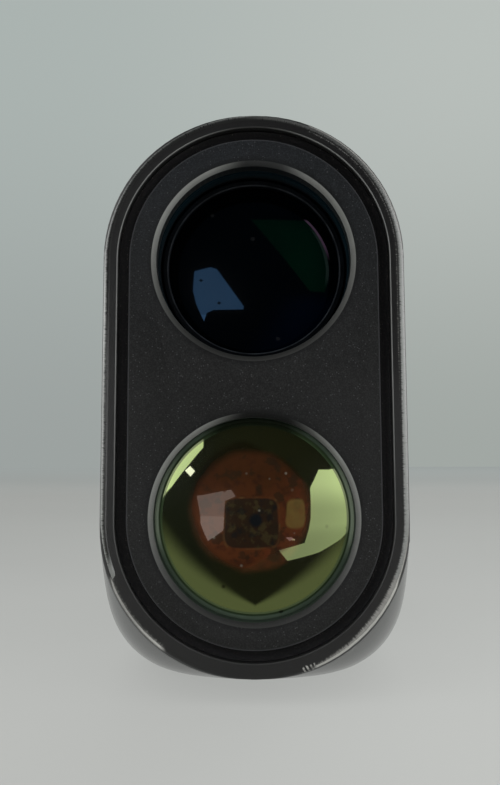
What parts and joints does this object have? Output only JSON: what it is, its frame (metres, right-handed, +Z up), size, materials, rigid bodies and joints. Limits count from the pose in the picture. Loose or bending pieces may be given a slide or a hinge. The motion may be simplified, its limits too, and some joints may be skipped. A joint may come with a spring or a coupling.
{
  "type": "laser rangefinder",
  "caption": "Hand-held laser rangefinder: viewing lens above a receiver lens in a stadium front, buttons on top, eyepiece and battery cap at the back.",
  "frame": {"origin": "middle of the base, at the height of the flat underside that it stands on", "axes": "+Z up, -Y the way the lenses look, +Y towards the user's eye, +X on the right of someone facing the lenses"},
  "size_m": [0.0422, 0.104, 0.0767],
  "materials": {
    "housing_paint": "satin black paint, worn bright at the edges",
    "cover_paint": "satin black paint",
    "plate_paint": "finely grained charcoal paint",
    "seal_rubber": "matt",
    "grip_rubber": "matt, lightly worn",
    "tube_anodised": "black anodised, satin",
    "objective_glass": "polished, blue-green coating",
    "receiver_glass": "polished, yellow-green coating",
    "clear_glass": "polished",
    "holder_plastic": "moulded",
    "screw_steel": "bright",
    "nickel_plate": "plated",
    "board_laminate": "solder mask",
    "chip_plastic": "moulded",
    "button_rubber": "matt",
    "diopter_plastic": "ribbed",
    "eyecup_rubber": "matt",
    "battery_wrap": "plain sleeve",
    "cap_plastic": "moulded"
  },
  "bodies": {
    "rangefinder_body": {"main_housing": "housing_paint", "front_plate": "plate_paint", "front_gasket": "seal_rubber", "left_grip_pad": "grip_rubber", "right_grip_pad": "grip_rubber", "objective_tube": "tube_anodised", "objective_lens": "objective_glass", "objective_retaining_ring": "tube_anodised", "objective_lock_ring": "tube_anodised", "prism_holder": "holder_plastic", "half_penta_prism": "clear_glass", "roof_prism": "clear_glass", "prism_clamp": "screw_steel", "laser_mount": "screw_steel", "laser_diode": "nickel_plate", "laser_driver_board": "board_laminate", "display_frame": "holder_plastic", "display_panel": "clear_glass", "receiver_tube": "tube_anodised", "receiver_lens": "receiver_glass", "receiver_lock_ring": "tube_anodised", "bandpass_filter": "receiver_glass", "detector": "nickel_plate", "detector_board": "board_laminate", "main_board": "board_laminate", "board_screw_1": "screw_steel", "board_screw_2": "screw_steel", "processor_chip": "chip_plastic", "button_board": "board_laminate", "measure_switch": "screw_steel", "mode_switch": "screw_steel", "button_board_screw_1": "screw_steel", "button_board_screw_2": "screw_steel", "button_seal": "seal_rubber", "rear_seal": "seal_rubber", "rear_cover": "cover_paint", "cover_screw_1": "screw_steel", "cover_screw_2": "screw_steel", "cover_screw_3": "screw_steel", "cover_screw_4": "screw_steel", "lanyard_bail": "screw_steel", "eyepiece_barrel": "tube_anodised", "diopter_snap_ring": "screw_steel", "battery_tube": "holder_plastic", "battery_spring": "nickel_plate", "battery": "battery_wrap", "battery_cap_seal": "seal_rubber"},
    "measure_button": {"measure_button": "button_rubber"},
    "mode_button": {"mode_button": "button_rubber"},
    "diopter_ring": {"diopter_ring": "diopter_plastic"},
    "ocular_group": {"ocular_cell": "tube_anodised", "field_lens": "clear_glass", "eye_lens": "clear_glass", "ocular_retaining_ring": "tube_anodised"},
    "eyecup": {"eyecup": "eyecup_rubber", "eyecup_sleeve": "holder_plastic"},
    "battery_cap": {"battery_cap": "cap_plastic", "cap_contact": "nickel_plate"}
  },
  "joints": [
    {"name": "measure_button_press", "type": "slide", "parent": "rangefinder_body", "child": "measure_button", "axis": [0, 0, -1], "range_m": [0, 0.0008], "stiffness_N_per_m": 2500, "springref_m": -0.0002},
    {"name": "mode_button_press", "type": "slide", "parent": "rangefinder_body", "child": "mode_button", "axis": [0, 0, -1], "range_m": [0, 0.0008], "stiffness_N_per_m": 2500, "springref_m": -0.0002},
    {"name": "diopter_turn", "type": "hinge", "parent": "rangefinder_body", "child": "diopter_ring", "pos_m": [0, 0.0392, 0.0549], "axis": [0, 1, 0], "range_deg": [-50, 50]},
    {"name": "focus_slide", "type": "slide", "parent": "rangefinder_body", "child": "ocular_group", "axis": [0, 1, 0], "range_m": [-0.0012, 0.0012]},
    {"name": "eyecup_pull", "type": "slide", "parent": "rangefinder_body", "child": "eyecup", "axis": [0, 1, 0], "range_m": [0, 0.004]},
    {"name": "battery_cap_turn", "type": "hinge", "parent": "rangefinder_body", "child": "battery_cap", "pos_m": [0, 0.0367, 0.016], "axis": [0, 1, 0], "range_deg": [0, 90]}
  ],
  "couplings": [
    {"joint": "diopter_turn", "follows": "focus_slide", "rad_per_m": 727}
  ]
}
